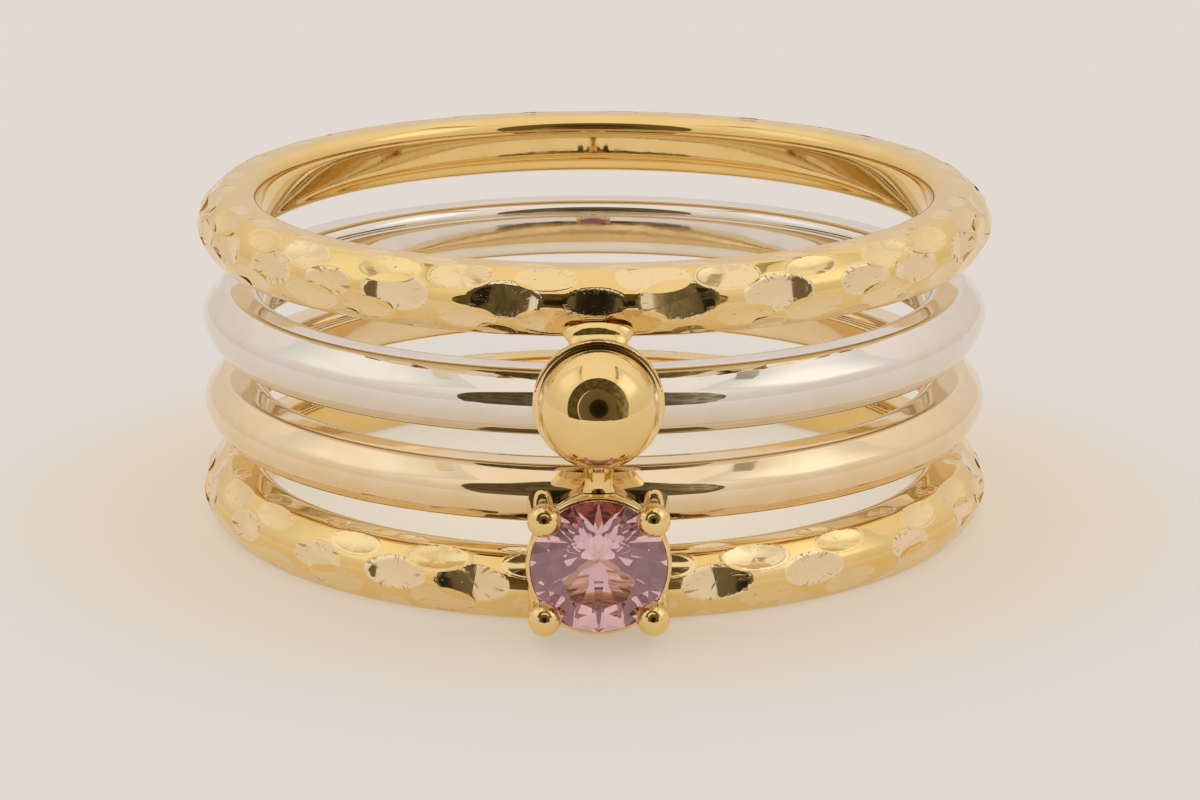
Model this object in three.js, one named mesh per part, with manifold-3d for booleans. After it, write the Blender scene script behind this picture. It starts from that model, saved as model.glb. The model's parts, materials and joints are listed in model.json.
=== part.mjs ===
// A stacked finger ring. Four coaxial bands stand apart from each other and are joined at the front,
// by a ball in a cup between the upper two and by a claw-set round stone in front of the lower two.
//
// Millimetres, +Z up along the finger axis, the stone and the ball facing -Y. The ring lies on its
// side: the lowest band's flat lower side is on z = 0. The origin is the centre of the base of the
// ring's own box, so the finger axis is a little behind it.
import * as THREE from "three";
import { ConvexGeometry } from "three/addons/geometries/ConvexGeometry.js";
import { mergeVertices } from "three/addons/utils/BufferGeometryUtils.js";
import Module from "manifold-3d";

const wasm = await Module();
wasm.setup();

// ---- driving dimensions ----------------------------------------------------------------------

const FINGER_RADIUS = 8.5; // the bore of every band
const AIR_GAP = 0.82; // between the outer pairs of bands
const MIDDLE_AIR_GAP = 0.7; // between the white band and the plain one
const SOLDER_GAP = 0.03; // left between two pieces that the maker solders or sets together
const BORE_CORNER = 0.32; // rounding of each band's two inner edges

const HAMMERED = { thickness: 1.55, width: 1.56, domeRise: 0.42, segments: 58 };
const WHITE = { thickness: 1.45, width: 1.57, domeRise: 0.42, segments: 58 };
const PLAIN = { thickness: 1.45, width: 1.38, domeRise: 0.4, segments: 58 };

// The hammer marks run round each hammered band in rows. A row's tilt is the direction that its
// marks face, in degrees above straight out, and its shift is in marks.
const UPPER_MARKS_PER_ROW = 29;
const LOWER_MARKS_PER_ROW = 24;
const MARK_DEPTH = 0.05;
const MARK_ROWS = [
  { tilt: 45, shift: 0.5, depthShare: 0.8 },
  { tilt: 11, shift: 0, depthShare: 1 },
  { tilt: -23, shift: 0.5, depthShare: 1 },
];
const MARK_WANDER = 1.3; // degrees that a mark strays from its even place

const BALL = { radius: 1.375, reach: 11.4, height: 5.65 }; // reach is from the finger axis
const CUP = {
  rimRadius: 1.49,
  rimReach: 11.15,
  rimWall: 0.09,
  footRadius: 1.05,
  footReach: 9.88,
  holeRadius: 0.45, // the cup is open at its back, where the ball comes closest to the band
};
// Two necks are one with the cup. The upper one leans back to the top band and flares on it, and the
// lower one stands on the claw setting. Each row is a half width and its place: the distance from the
// ball's centre along the upper neck, or the height up the lower one.
const UPPER_NECK = {
  flatness: 0.5, // its thickness as a share of its width
  sections: [
    { along: 1.2, radius: 0.78 },
    { along: 1.5, radius: 0.64 },
    { along: 1.72, radius: 0.61 },
    { along: 1.9, radius: 0.68 },
    { along: 2.05, radius: 0.8 },
    { along: 2.25, radius: 1 },
  ],
};
const LOWER_NECK = {
  reach: 10.9,
  sections: [
    { height: 3.3, radius: 0.5 },
    { height: 3.65, radius: 0.38 },
    { height: 3.9, radius: 0.31 },
    { height: 4.15, radius: 0.38 },
    { height: 4.45, radius: 0.55 },
  ],
};

const STONE = {
  radius: 1.56,
  girdleReach: 11.45,
  girdleHeight: 0.06,
  crown: 0.46,
  pavilion: 1.28,
  tableShare: 0.58,
  starShare: 0.77,
  lowerShare: 0.24,
};
// The collet behind the stone, from the band outwards: each row is a reach and the outside radius.
const COLLET = {
  outside: [
    { reach: 9.7, radius: 1.46 },
    { reach: 10.6, radius: 1.58 },
    { reach: 11.2, radius: 1.67 },
    { reach: 11.42, radius: 1.63 },
  ],
  rimWall: 0.1,
  footWall: 0.34,
};
const COLLET_SEGMENTS = 28;
const CLAW = {
  across: 1.29, // half the distance between the tips, side to side
  up: 1.18, // and above to below
  footAcross: 1.32,
  footUp: 1.03,
  shankRadius: 0.36,
  tipRadius: 0.41,
  tipReach: 11.68,
  footReach: 9.9,
};

// ---- heights of the bands, from the lowest up ---------------------------------------------------

const lowerHammeredZ = HAMMERED.width / 2;
const plainZ = HAMMERED.width + AIR_GAP + PLAIN.width / 2;
const whiteZ = plainZ + PLAIN.width / 2 + MIDDLE_AIR_GAP + WHITE.width / 2;
const upperHammeredZ = whiteZ + WHITE.width / 2 + AIR_GAP + HAMMERED.width / 2;
const stoneZ = (lowerHammeredZ + plainZ) / 2; // midway between the two bands it stands on

// ---- materials ----------------------------------------------------------------------------------

const yellowGold = new THREE.MeshStandardMaterial({ color: 0xdcae52, metalness: 1, roughness: 0.15 });
const whiteGold = new THREE.MeshStandardMaterial({ color: 0xdcd6d0, metalness: 1, roughness: 0.12 });
const pinkStone = new THREE.MeshStandardMaterial({ color: 0xd9a0b4, metalness: 0, roughness: 0.02 });

// ---- solids and meshes --------------------------------------------------------------------------

// A closed geometry as a manifold-3d solid, for cutting and joining.
function solidOf(geometry) {
  const bare = geometry.index ? geometry.toNonIndexed() : geometry.clone();
  bare.deleteAttribute("normal");
  bare.deleteAttribute("uv");
  const merged = mergeVertices(bare, 1e-4);
  return new wasm.Manifold(
    new wasm.Mesh({
      numProp: 3,
      vertProperties: merged.attributes.position.array,
      triVerts: new Uint32Array(merged.index.array),
    }),
  );
}

function geometryOf(solid) {
  const mesh = solid.getMesh();
  const geometry = new THREE.BufferGeometry();
  geometry.setAttribute("position", new THREE.BufferAttribute(mesh.vertProperties, 3));
  geometry.setIndex(new THREE.BufferAttribute(mesh.triVerts, 1));
  const flat = geometry.toNonIndexed();
  flat.computeVertexNormals();
  return flat;
}

function piece(name, geometry, material) {
  const mesh = new THREE.Mesh(geometry, material);
  mesh.name = name;
  return mesh;
}

// A solid turned about the finger axis. The profile's x is the reach from that axis, its y the height.
function turnedUpright(profile, segments) {
  return new THREE.LatheGeometry(profile, segments).rotateX(Math.PI / 2);
}

// A solid turned about a line that points straight out of the front of the ring. The profile's x is
// the distance from that line and its y the reach from the finger axis.
function turnedForward(profile, segments, z) {
  return new THREE.LatheGeometry(profile, segments).rotateX(Math.PI).translate(0, 0, z);
}

// A straight round bar between two points, its radius changing evenly from one end to the other.
function bar(from, to, fromRadius, toRadius, sides) {
  const along = to.clone().sub(from);
  const geometry = new THREE.CylinderGeometry(toRadius, fromRadius, along.length(), sides);
  const turn = new THREE.Quaternion().setFromUnitVectors(new THREE.Vector3(0, 1, 0), along.clone().normalize());
  geometry.applyQuaternion(turn);
  const middle = from.clone().add(to).multiplyScalar(0.5);
  return geometry.translate(middle.x, middle.y, middle.z);
}

// ---- bands --------------------------------------------------------------------------------------

// The radius of the arc that crosses a band's outer face, and how far its centre is from the finger.
function domeOf(band) {
  const half = band.width / 2;
  const radius = (half * half + band.domeRise * band.domeRise) / (2 * band.domeRise);
  return { radius, centreReach: FINGER_RADIUS + band.thickness - radius };
}

// Points along an arc, both ends included.
function arcPoints(x, y, radius, from, to, steps) {
  return new THREE.EllipseCurve(x, y, radius, radius, from, to).getPoints(steps);
}

// The outline of a band's section: flat sides, a domed outer face and rounded inner edges. grow
// moves the whole outline outwards, which makes the clearance that a seated piece is cut with.
function bandProfile(band, grow = 0) {
  const half = band.width / 2;
  const dome = domeOf(band);
  const domeEdge = Math.asin(half / dome.radius);
  const inner = FINGER_RADIUS + BORE_CORNER;
  const corner = BORE_CORNER + grow;
  const outline = [
    ...arcPoints(dome.centreReach, 0, dome.radius + grow, -domeEdge, domeEdge, 6),
    ...arcPoints(inner, half - BORE_CORNER, corner, Math.PI / 2, Math.PI, 3),
    ...arcPoints(inner, BORE_CORNER - half, corner, Math.PI, 1.5 * Math.PI, 3),
  ];
  return [...outline, outline[0].clone()];
}

function bandSolid(band, z, grow = 0) {
  return solidOf(turnedUpright(bandProfile(band, grow), band.segments).translate(0, 0, z));
}

// A flat hammer mark is made by a block that is laid on the dome and sunk into it.
function markBlock(band, azimuth, tilt, depth) {
  const dome = domeOf(band);
  const size = { along: 3, across: 1.1, thick: 0.6 };
  const block = new THREE.BoxGeometry(size.along, size.thick, size.across);
  block.translate(0, -(dome.radius - depth + size.thick / 2), 0);
  block.rotateX(-THREE.MathUtils.degToRad(tilt));
  block.translate(0, -dome.centreReach, 0);
  return block.rotateZ(THREE.MathUtils.degToRad(azimuth));
}

function hammeredBand(z, marksPerRow) {
  const step = 360 / marksPerRow;
  const blocks = MARK_ROWS.flatMap((row, rowIndex) =>
    Array.from({ length: marksPerRow }, (_, k) => {
      const wander = MARK_WANDER * Math.sin(2.4 * k + 1.9 * rowIndex);
      const depth = MARK_DEPTH * row.depthShare * (1 + 0.15 * Math.sin(1.7 * k + rowIndex));
      return solidOf(markBlock(HAMMERED, (k + row.shift) * step + wander, row.tilt, depth));
    }),
  );
  const plain = bandSolid(HAMMERED, 0);
  return plain.subtract(wasm.Manifold.union(blocks)).translate([0, 0, z]);
}

// ---- ball and cup -------------------------------------------------------------------------------

function ballGeometry(radius) {
  return new THREE.SphereGeometry(radius, 24, 14).translate(0, -BALL.reach, BALL.height);
}

// A neck's outline, closed on its own axis at both ends.
function neckGeometry(neck, segments) {
  const sections = neck.sections.map((row) => new THREE.Vector2(row.radius, row.along ?? row.height));
  const start = new THREE.Vector2(0, sections[0].y);
  const end = new THREE.Vector2(0, sections.at(-1).y);
  return new THREE.LatheGeometry([start, ...sections, end], segments);
}

function upperNeck() {
  const ballCentre = new THREE.Vector3(0, -BALL.reach, BALL.height);
  const domeCentre = new THREE.Vector3(0, -domeOf(HAMMERED).centreReach, upperHammeredZ);
  const lean = domeCentre.sub(ballCentre).normalize();
  const turn = new THREE.Quaternion().setFromUnitVectors(new THREE.Vector3(0, 1, 0), lean);
  const neck = neckGeometry(UPPER_NECK, 20).scale(1, 1, UPPER_NECK.flatness).applyQuaternion(turn);
  return neck.translate(ballCentre.x, ballCentre.y, ballCentre.z);
}

// A bowl behind the ball, with one neck that leans back and up to the top band and one that stands
// on the claw setting.
function ballCup() {
  const bowl = turnedForward(
    [
      new THREE.Vector2(CUP.holeRadius, CUP.footReach),
      new THREE.Vector2(CUP.footRadius, CUP.footReach),
      new THREE.Vector2(CUP.footRadius * 1.2, CUP.footReach + 0.42),
      new THREE.Vector2(CUP.rimRadius * 0.96, CUP.rimReach - 0.4),
      new THREE.Vector2(CUP.rimRadius, CUP.rimReach),
      new THREE.Vector2(CUP.rimRadius - CUP.rimWall, CUP.rimReach + 0.04),
      new THREE.Vector2(CUP.holeRadius, CUP.rimReach + 0.04),
      new THREE.Vector2(CUP.holeRadius, CUP.footReach),
    ],
    28,
    BALL.height,
  );
  const lowerNeck = neckGeometry(LOWER_NECK, 14).rotateX(Math.PI / 2).translate(0, -LOWER_NECK.reach, 0);
  return wasm.Manifold.union([solidOf(bowl), solidOf(upperNeck()), solidOf(lowerNeck)])
    .subtract(solidOf(ballGeometry(BALL.radius + SOLDER_GAP)))
    .subtract(bandSolid(WHITE, whiteZ, SOLDER_GAP))
    .subtract(bandSolid(HAMMERED, upperHammeredZ, SOLDER_GAP))
    .subtract(solidOf(turnedForward(colletOutline(SOLDER_GAP), COLLET_SEGMENTS, stoneZ)));
}

// ---- stone --------------------------------------------------------------------------------------

// The corners of a round brilliant cut. Its mains lie in the eight directions, and grow enlarges it.
function stoneGeometry(grow = 0) {
  const radius = STONE.radius + grow;
  const crown = STONE.crown + grow;
  const pavilion = STONE.pavilion + grow;
  const halfGirdle = STONE.girdleHeight / 2;
  const table = STONE.tableShare * radius;
  const corners = [];
  const put = (r, turn, depth) =>
    corners.push(new THREE.Vector3(r * Math.sin(turn), -(STONE.girdleReach + depth), stoneZ + r * Math.cos(turn)));
  const eighth = Math.PI / 4;
  const lean = Math.cos(eighth / 2);
  const starDepth = crown - ((STONE.starShare * radius * lean - table) * (crown - halfGirdle)) / (radius - table);
  const lowerDepth = -pavilion + STONE.lowerShare * lean * (pavilion - halfGirdle);
  for (let k = 0; k < 8; k++) {
    const main = k * eighth;
    const between = main + eighth / 2;
    put(table, main, crown);
    put(STONE.starShare * radius, between, starDepth);
    put(STONE.lowerShare * radius, between, lowerDepth);
    for (const turn of [main, between]) {
      put(radius, turn, halfGirdle);
      put(radius, turn, -halfGirdle);
    }
  }
  put(0, 0, -pavilion);
  return new ConvexGeometry(corners);
}

// ---- claw setting -------------------------------------------------------------------------------

// The collet's outside, filled in to its own middle line. grow enlarges it.
function colletOutline(grow = 0) {
  const wall = COLLET.outside.map((row) => new THREE.Vector2(row.radius + grow, row.reach));
  const foot = new THREE.Vector2(0, wall[0].y);
  const front = new THREE.Vector2(0, wall.at(-1).y);
  return [foot, ...wall, front];
}

function claw(side, level) {
  const tip = new THREE.Vector3(side * CLAW.across, -CLAW.tipReach, stoneZ + level * CLAW.up);
  const foot = new THREE.Vector3(side * CLAW.footAcross, -CLAW.footReach, stoneZ + level * CLAW.footUp);
  const ball = new THREE.SphereGeometry(CLAW.tipRadius, 12, 8).translate(tip.x, tip.y, tip.z);
  return solidOf(bar(foot, tip, CLAW.shankRadius, CLAW.shankRadius, 12)).add(solidOf(ball));
}

// The collet behind the stone, with four ball-ended claws that are notched over the stone's edge.
function clawSetting() {
  const outside = COLLET.outside;
  const innerRim = outside.at(-1).radius - COLLET.rimWall;
  const innerFoot = outside[0].radius - COLLET.footWall;
  const hollow = turnedForward(
    [
      new THREE.Vector2(0, outside[0].reach - 1),
      new THREE.Vector2(innerFoot, outside[0].reach - 1),
      new THREE.Vector2(innerFoot, outside[0].reach),
      new THREE.Vector2(innerRim, outside.at(-1).reach - 0.3),
      new THREE.Vector2(innerRim, outside.at(-1).reach + 1),
      new THREE.Vector2(0, outside.at(-1).reach + 1),
    ],
    COLLET_SEGMENTS,
    stoneZ,
  );
  const collet = solidOf(turnedForward(colletOutline(), COLLET_SEGMENTS, stoneZ));
  const claws = [-1, 1].flatMap((side) => [-1, 1].map((level) => claw(side, level)));
  return wasm.Manifold.union([collet.subtract(solidOf(hollow)), ...claws])
    .subtract(solidOf(stoneGeometry(SOLDER_GAP)))
    .subtract(bandSolid(PLAIN, plainZ, SOLDER_GAP))
    .subtract(bandSolid(HAMMERED, lowerHammeredZ, SOLDER_GAP));
}

// ---- the whole ring -----------------------------------------------------------------------------

const ring = new THREE.Group();
ring.add(
  piece("hammered_band_upper", geometryOf(hammeredBand(upperHammeredZ, UPPER_MARKS_PER_ROW)), yellowGold),
  piece("white_band", turnedUpright(bandProfile(WHITE), WHITE.segments).translate(0, 0, whiteZ), whiteGold),
  piece("plain_band", turnedUpright(bandProfile(PLAIN), PLAIN.segments).translate(0, 0, plainZ), yellowGold),
  piece("hammered_band_lower", geometryOf(hammeredBand(lowerHammeredZ, LOWER_MARKS_PER_ROW)), yellowGold),
  piece("ball_cup", geometryOf(ballCup()), yellowGold),
  piece("ball", ballGeometry(BALL.radius), yellowGold),
  piece("claw_setting", geometryOf(clawSetting()), yellowGold),
  piece("stone", stoneGeometry(), pinkStone),
);

// The origin goes to the middle of the ring's base.
const box = new THREE.Box3().setFromObject(ring);
ring.position.y = -(box.min.y + box.max.y) / 2;

export default ring;
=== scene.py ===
import json
import math

import bmesh
import bpy
from mathutils import Matrix, Vector

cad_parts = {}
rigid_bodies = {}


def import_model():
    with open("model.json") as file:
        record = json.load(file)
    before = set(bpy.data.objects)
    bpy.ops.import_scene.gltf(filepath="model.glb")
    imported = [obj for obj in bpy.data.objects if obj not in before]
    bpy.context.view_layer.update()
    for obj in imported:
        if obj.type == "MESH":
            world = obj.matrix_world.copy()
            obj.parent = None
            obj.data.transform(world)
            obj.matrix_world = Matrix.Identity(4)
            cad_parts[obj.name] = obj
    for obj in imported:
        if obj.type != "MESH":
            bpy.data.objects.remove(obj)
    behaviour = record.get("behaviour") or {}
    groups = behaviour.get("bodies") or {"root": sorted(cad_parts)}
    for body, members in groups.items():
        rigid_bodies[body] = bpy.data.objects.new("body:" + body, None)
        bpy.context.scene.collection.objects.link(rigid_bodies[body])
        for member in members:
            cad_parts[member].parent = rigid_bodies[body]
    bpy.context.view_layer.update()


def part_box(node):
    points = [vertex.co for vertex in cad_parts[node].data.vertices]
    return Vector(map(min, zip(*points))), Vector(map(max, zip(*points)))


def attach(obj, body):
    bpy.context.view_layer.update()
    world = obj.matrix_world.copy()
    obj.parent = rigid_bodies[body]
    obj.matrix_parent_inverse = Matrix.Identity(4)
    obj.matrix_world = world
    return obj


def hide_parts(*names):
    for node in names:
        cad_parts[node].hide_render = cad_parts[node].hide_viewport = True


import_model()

MM = 0.001
FULL_TURN = 2 * math.pi
UP = Vector((0, 0, 1))
HAIR = 1e-8  # metres: cuts this close to a point go through it
SAME_POINT = 0.0005  # millimetres: points this close are one
SAME_OUTLINE_POINT = 0.001  # the same, while a band's section is drawn
NEAR = 0.01  # millimetres: reach of a search for the points at a place
CLEAR = 0.1  # millimetres: well past the points at a place
CREASE, MARK_CREASE = 30, 40  # degrees: edges that turn less than this are shaded smooth

# ---- sizes, in millimetres ----------------------------------------------------------------------

FINGER_RADIUS = 8.5
BORE_CORNER = 0.32
JOINT_GAP = 0.02  # the hairline between two pieces that are soldered or set together

HAMMERED = {"thickness": 1.55, "width": 1.56, "steps": 760}
WHITE = {"thickness": 1.45, "width": 1.57, "steps": 480}
PLAIN = {"thickness": 1.45, "width": 1.38, "steps": 480}
# The outer outline of a band, from its lower edge up: height and drop below the crest, both
# as shares of half its width, then how far and in how many steps each point is rounded off.
CREST = (
    (-1.0, 0.565, 0.1, 4),
    (-0.42, 0.143, 0.25, 6),
    (0.15, 0.0, 0.32, 14),
    (0.55, 0.31, 0.16, 5),
    (1.0, 0.777, 0.1, 4),
)
# Edges of the section longer than the first number, in millimetres, get the second number of cuts.
SECTION_CUTS = ((0.3, 3), (0.1, 1))
EDGE_PASSES = 3  # of polishing, which rounds the edges of a band's section

# The hammer marks. A row's tilt is the direction its marks face, in degrees above straight out; its
# height and its drop below the crest say where on the section it lies, and bend is the radius of the
# section there. A punch's tip is part of an egg: punch gives its half sizes along and across the band.
PUNCH_DEEP = 1.0
PUNCH_TIP = 0.3  # how much of the egg is kept
MARK_SHARE = 0.4  # of a unit of the marks' UV map, from the middle of a mark to its rim
MARK_LIMIT = 0.49  # the furthest a mark may reach in its own unit
MARK_HALF_LENGTH, MARK_HALF_WIDTH = 0.9, 0.42
MARK_ROWS = (
    dict(height=0.6, drop=0.36, tilt=46, shift=0.5, depth=0.085, bend=1.6, punch=(2.5, 1.15)),
    dict(height=0.132, drop=0.017, tilt=15, shift=0.0, depth=0.16, bend=0.55, punch=(1.75, 2.6)),
    dict(height=-0.36, drop=0.085, tilt=-26, shift=0.5, depth=0.1, bend=1.2, punch=(2.4, 1.35)),
    dict(height=-0.66, drop=0.3, tilt=-38, shift=0.0, depth=0.03, bend=2.0, punch=(2.4, 1.2)),
    dict(height=0.78, drop=0.84, tilt=87, shift=0.2, depth=0.022, bend=9.0, punch=(2.4, 1.3)),
)
MIDDLE_ROW = 1
# How marks waver from blow to blow: by how much, then how fast from mark to mark and row to row.
WAVERS = {
    "stray": (1.4, 2.4, 1.9),  # degrees round the finger
    "depth": (0.18, 1.7, 1.0),  # share of the row's depth
    "tilt": (2.0, 3.1, 2.2),  # degrees
    "twist": (4.0, 1.3, 0.7),  # degrees
}
RIDGE_PASSES = 2  # of polishing after the marks are struck, which rounds the ridges between them
# The marks of the middle row that face the front were charted one by one: how far each strays from
# its even place in degrees, and its depth. The others stray by a slow wave.
UPPER_MARKS = {
    "per_row": 29,
    "first": -5,
    "charted": (
        (-1.4, 0.156),
        (-0.9, 0.156),
        (-1.7, 0.116),
        (-3.1, 0.184),
        (0.1, 0.177),
        (-0.4, 0.122),
        (-1.9, 0.204),
        (-0.1, 0.19),
        (1.6, 0.136),
        (-0.5, 0.156),
    ),
}
LOWER_MARKS = {
    "per_row": 24,
    "first": -3,
    "charted": (
        (3.0, 0.136),
        (1.4, 0.156),
        (-2.1, 0.19),
        (0.0, 0.116),
        (1.2, 0.177),
        (0.9, 0.163),
        (4.2, 0.116),
        (6.0, 0.116),
    ),
}

BALL_RADIUS = 1.375
# How far in front of the finger axis the cup, the neck under it, the collet and the claws start.
CUP_FOOT, LOWER_NECK_AT, COLLET_FOOT, CLAW_FOOT = 9.88, 10.9, 9.7, 9.85
# Rows of (how far the cup's wall is in front of its foot, and its radius there).
CUP_WALL = ((0.0, 1.0), (0.22, 1.2), (0.5, 1.36), (0.8, 1.46), (1.05, 1.5), (1.25, 1.5))
UPPER_NECK = (
    (1.1, 0.86),
    (1.3, 0.74),
    (1.48, 0.65),
    (1.58, 0.64),
    (1.68, 0.64),
    (1.76, 0.68),
    (1.84, 0.68),
    (1.92, 0.75),
    (2.05, 0.82),
    (2.2, 0.84),
)
UPPER_NECK_FLATNESS = 0.38
UPPER_NECK_AIM = 0.93  # how far behind the top band's crest the upper neck points
LOWER_NECK = ((-0.45, 0.55), (-0.2, 0.42), (0.1, 0.32), (0.3, 0.31), (0.5, 0.36), (0.75, 0.5), (0.95, 0.62))

STONE_SIDES = 8
STONE_STEP = 360 / STONE_SIDES  # degrees
STONE_RADIUS = 1.56
GIRDLE_DEPTH = 0.46  # from the front of the stone's box to the middle of the girdle
# From the middle of the girdle forward to the table, back to the point, and each way to its edges.
STONE_CROWN, STONE_PAVILION, STONE_GIRDLE = 0.45, 1.37, 0.03
# Where facets meet, as shares of the radius: the table's corners, and the tips of the star facets in
# front, of the long lower facets at the back and of the small facets round the point.
STONE_TABLE, STONE_STAR, STONE_LOWER, STONE_HEART = 0.58, 0.78, 0.22, 0.36
STONE_HEART_SLOPE = 37.5  # degrees from the table, of the small facets

# Rows of (how far the collet's wall or bore is in front of its foot, and its radius there).
COLLET_WALL = ((0.0, 1.46), (0.9, 1.58), (1.35, 1.66), (1.55, 1.675), (1.68, 1.66), (1.75, 1.62))
COLLET_RIM = COLLET_WALL[-1][0]
COLLET_BORE = (
    (-1, 1.1),
    (0, 1.1),
    (COLLET_RIM - 0.42, 1.46),
    (COLLET_RIM - 0.2, 1.575),
    (COLLET_RIM + 0.01, 1.575),
)
CLAW_ACROSS, CLAW_UP = 1.24, 1.18
CLAW_FOOT_ACROSS, CLAW_FOOT_UP = 1.3, 1.0
CLAW_SHANK, CLAW_TIP = 0.36, 0.39
CLAW_TIP_FORWARD = 0.25

SOLDER_GRAIN = 0.028  # size of the squares that a soldered fitting's skin is made of
SOLDER_PASSES = 9


# ---- places from the frame ----------------------------------------------------------------------


def middle(node):
    low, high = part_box(node)
    return (low + high) / 2


axis_y = middle("white_band").y / MM
ball_at = middle("ball") / MM
stone_low, stone_high = (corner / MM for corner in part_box("stone"))
stone_z = (stone_low.z + stone_high.z) / 2
girdle_y = stone_low.y + GIRDLE_DEPTH
cup_foot_y = axis_y - CUP_FOOT
collet_foot_y = axis_y - COLLET_FOOT


# ---- modelling by hand --------------------------------------------------------------------------


def select_only(*pieces):
    for other in bpy.context.view_layer.objects:
        other.select_set(False)
    for piece in pieces:
        piece.select_set(True)
    bpy.context.view_layer.objects.active = pieces[-1]


def name_new(name):
    piece = bpy.context.object
    piece.name = name
    piece.data.name = name
    return piece


def settle(piece, matrix=None):
    """Moves a piece into place and leaves its own origin at the frame's."""
    if matrix is not None:
        piece.matrix_world = matrix @ piece.matrix_world
    select_only(piece)
    bpy.ops.object.transform_apply(location=True, rotation=True, scale=True)
    return piece


def start_editing(piece, mode="VERT"):
    select_only(piece)
    bpy.ops.object.mode_set(mode="EDIT")
    bpy.ops.mesh.select_mode(type=mode)
    bpy.ops.mesh.select_all(action="DESELECT")


def stop_editing():
    bpy.ops.object.mode_set(mode="OBJECT")


def pick(piece, domain, test):
    """Selects the vertices, edges or faces that pass a test, and nothing else."""
    bpy.ops.mesh.select_all(action="DESELECT")
    mesh = bmesh.from_edit_mesh(piece.data)
    for element in getattr(mesh, domain):
        if test(element):
            element.select_set(True)
    bmesh.update_edit_mesh(piece.data)


def finish_with(piece, kind, **settings):
    select_only(piece)
    modifier = piece.modifiers.new(kind.title(), kind)
    for key, value in settings.items():
        setattr(modifier, key, value)
    bpy.ops.object.modifier_apply(modifier=modifier.name)
    return piece


def join_or_cut(piece, other, operation):
    """Joins another solid on, or cuts it away, and uses it up."""
    finish_with(
        piece, "BOOLEAN", object=other, operation=operation, solver="MANIFOLD", material_mode="TRANSFER"
    )
    bpy.data.objects.remove(other)
    return piece


def copy_of(piece, name):
    twin = piece.copy()
    twin.data = piece.data.copy()
    twin.name = name
    bpy.context.collection.objects.link(twin)
    return twin


def face_outwards(piece):
    start_editing(piece)
    bpy.ops.mesh.select_all(action="SELECT")
    bpy.ops.mesh.remove_doubles(threshold=SAME_POINT * MM)
    bpy.ops.mesh.normals_make_consistent(inside=False)
    stop_editing()
    return piece


def smooth(piece, degrees):
    select_only(piece)
    bpy.ops.object.shade_smooth_by_angle(angle=math.radians(degrees))
    return piece


def turned(name, rows, sides):
    """A solid turned about Z: a disc that is extruded through rows of (distance along, radius)."""
    along, radius = rows[0]
    bpy.ops.mesh.primitive_circle_add(
        vertices=sides, radius=radius * MM, fill_type="NGON", location=(0, 0, along * MM)
    )
    piece = settle(name_new(name))
    start_editing(piece, "FACE")
    bpy.ops.mesh.select_all(action="SELECT")
    for (was_along, was_radius), (along, radius) in zip(rows, rows[1:]):
        bpy.ops.mesh.extrude_region_move(TRANSFORM_OT_translate={"value": (0, 0, (along - was_along) * MM)})
        share = radius / was_radius
        bpy.ops.transform.resize(value=(share, share, 1), center_override=(0, 0, along * MM))
    stop_editing()
    return face_outwards(piece)


def turn_to(direction):
    """The turn that points +Z in a direction."""
    return UP.rotation_difference(direction).to_matrix().to_4x4()


def forward_from(y, z):
    """Stands a piece that was turned about Z on the front of the ring, pointing along -Y."""
    return Matrix.Translation(Vector((0, y, z)) * MM) @ Matrix.Rotation(math.radians(90), 4, "X")


# ---- bands --------------------------------------------------------------------------------------


def raise_crest(plate, half, edge):
    """Shapes the outer edge of a plate into two slopes that meet in a round crest."""
    pick(plate, "edges", lambda e: min(v.co.x for v in e.verts) > (edge - NEAR) * MM)
    bpy.ops.mesh.subdivide(number_cuts=len(CREST) - 2)
    for k, (height, drop, *_) in enumerate(CREST):
        was = half * (2 * k / (len(CREST) - 1) - 1)
        pick(plate, "verts", lambda v: v.co.x > (edge - NEAR) * MM and abs(v.co.z - was * MM) < NEAR * MM)
        bpy.ops.transform.translate(value=((1 - drop) * half * MM, 0, (height * half - was) * MM))
    for height, drop, soften, steps in CREST:
        at = Vector((edge + (1 - drop) * half, 0, height * half)) * MM
        pick(plate, "verts", lambda v: (v.co - at).length < NEAR * MM)
        bpy.ops.mesh.bevel(offset=soften * half * MM, segments=steps, affect="VERTICES")


def draw_section(band, grow):
    """The outline of a band's section in the XZ plane: a plate with rounded inner corners and a
    crested outer edge. X is the reach from the finger axis."""
    half = band["width"] / 2 + grow
    inner = FINGER_RADIUS - grow
    reach = FINGER_RADIUS + band["thickness"] + grow / 2
    outer = reach - half
    bpy.ops.mesh.primitive_plane_add(size=1, rotation=(math.radians(90), 0, 0))
    plate = bpy.context.object
    plate.location = ((inner + outer) / 2 * MM, 0, 0)
    plate.scale = ((outer - inner) * MM, 2 * half * MM, 1)
    settle(plate)
    start_editing(plate)
    pick(plate, "verts", lambda v: v.co.x < (inner + CLEAR) * MM)
    bpy.ops.mesh.bevel(offset=(BORE_CORNER + grow) * MM, segments=6, affect="VERTICES")
    raise_crest(plate, half, outer)
    bpy.ops.mesh.select_all(action="SELECT")
    bpy.ops.mesh.delete(type="ONLY_FACE")
    furthest = max(v.co.x for v in bmesh.from_edit_mesh(plate.data).verts)
    pick(plate, "verts", lambda v: v.co.x > (inner + BORE_CORNER + CLEAR) * MM)
    bpy.ops.transform.translate(value=(reach * MM - furthest, 0, 0))
    bpy.ops.mesh.select_all(action="SELECT")
    bpy.ops.mesh.remove_doubles(threshold=SAME_OUTLINE_POINT * MM)
    for longest, cuts in SECTION_CUTS:
        pick(plate, "edges", lambda e: e.calc_length() > longest * MM)
        bpy.ops.mesh.subdivide(number_cuts=cuts)
    stop_editing()
    return plate


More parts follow.
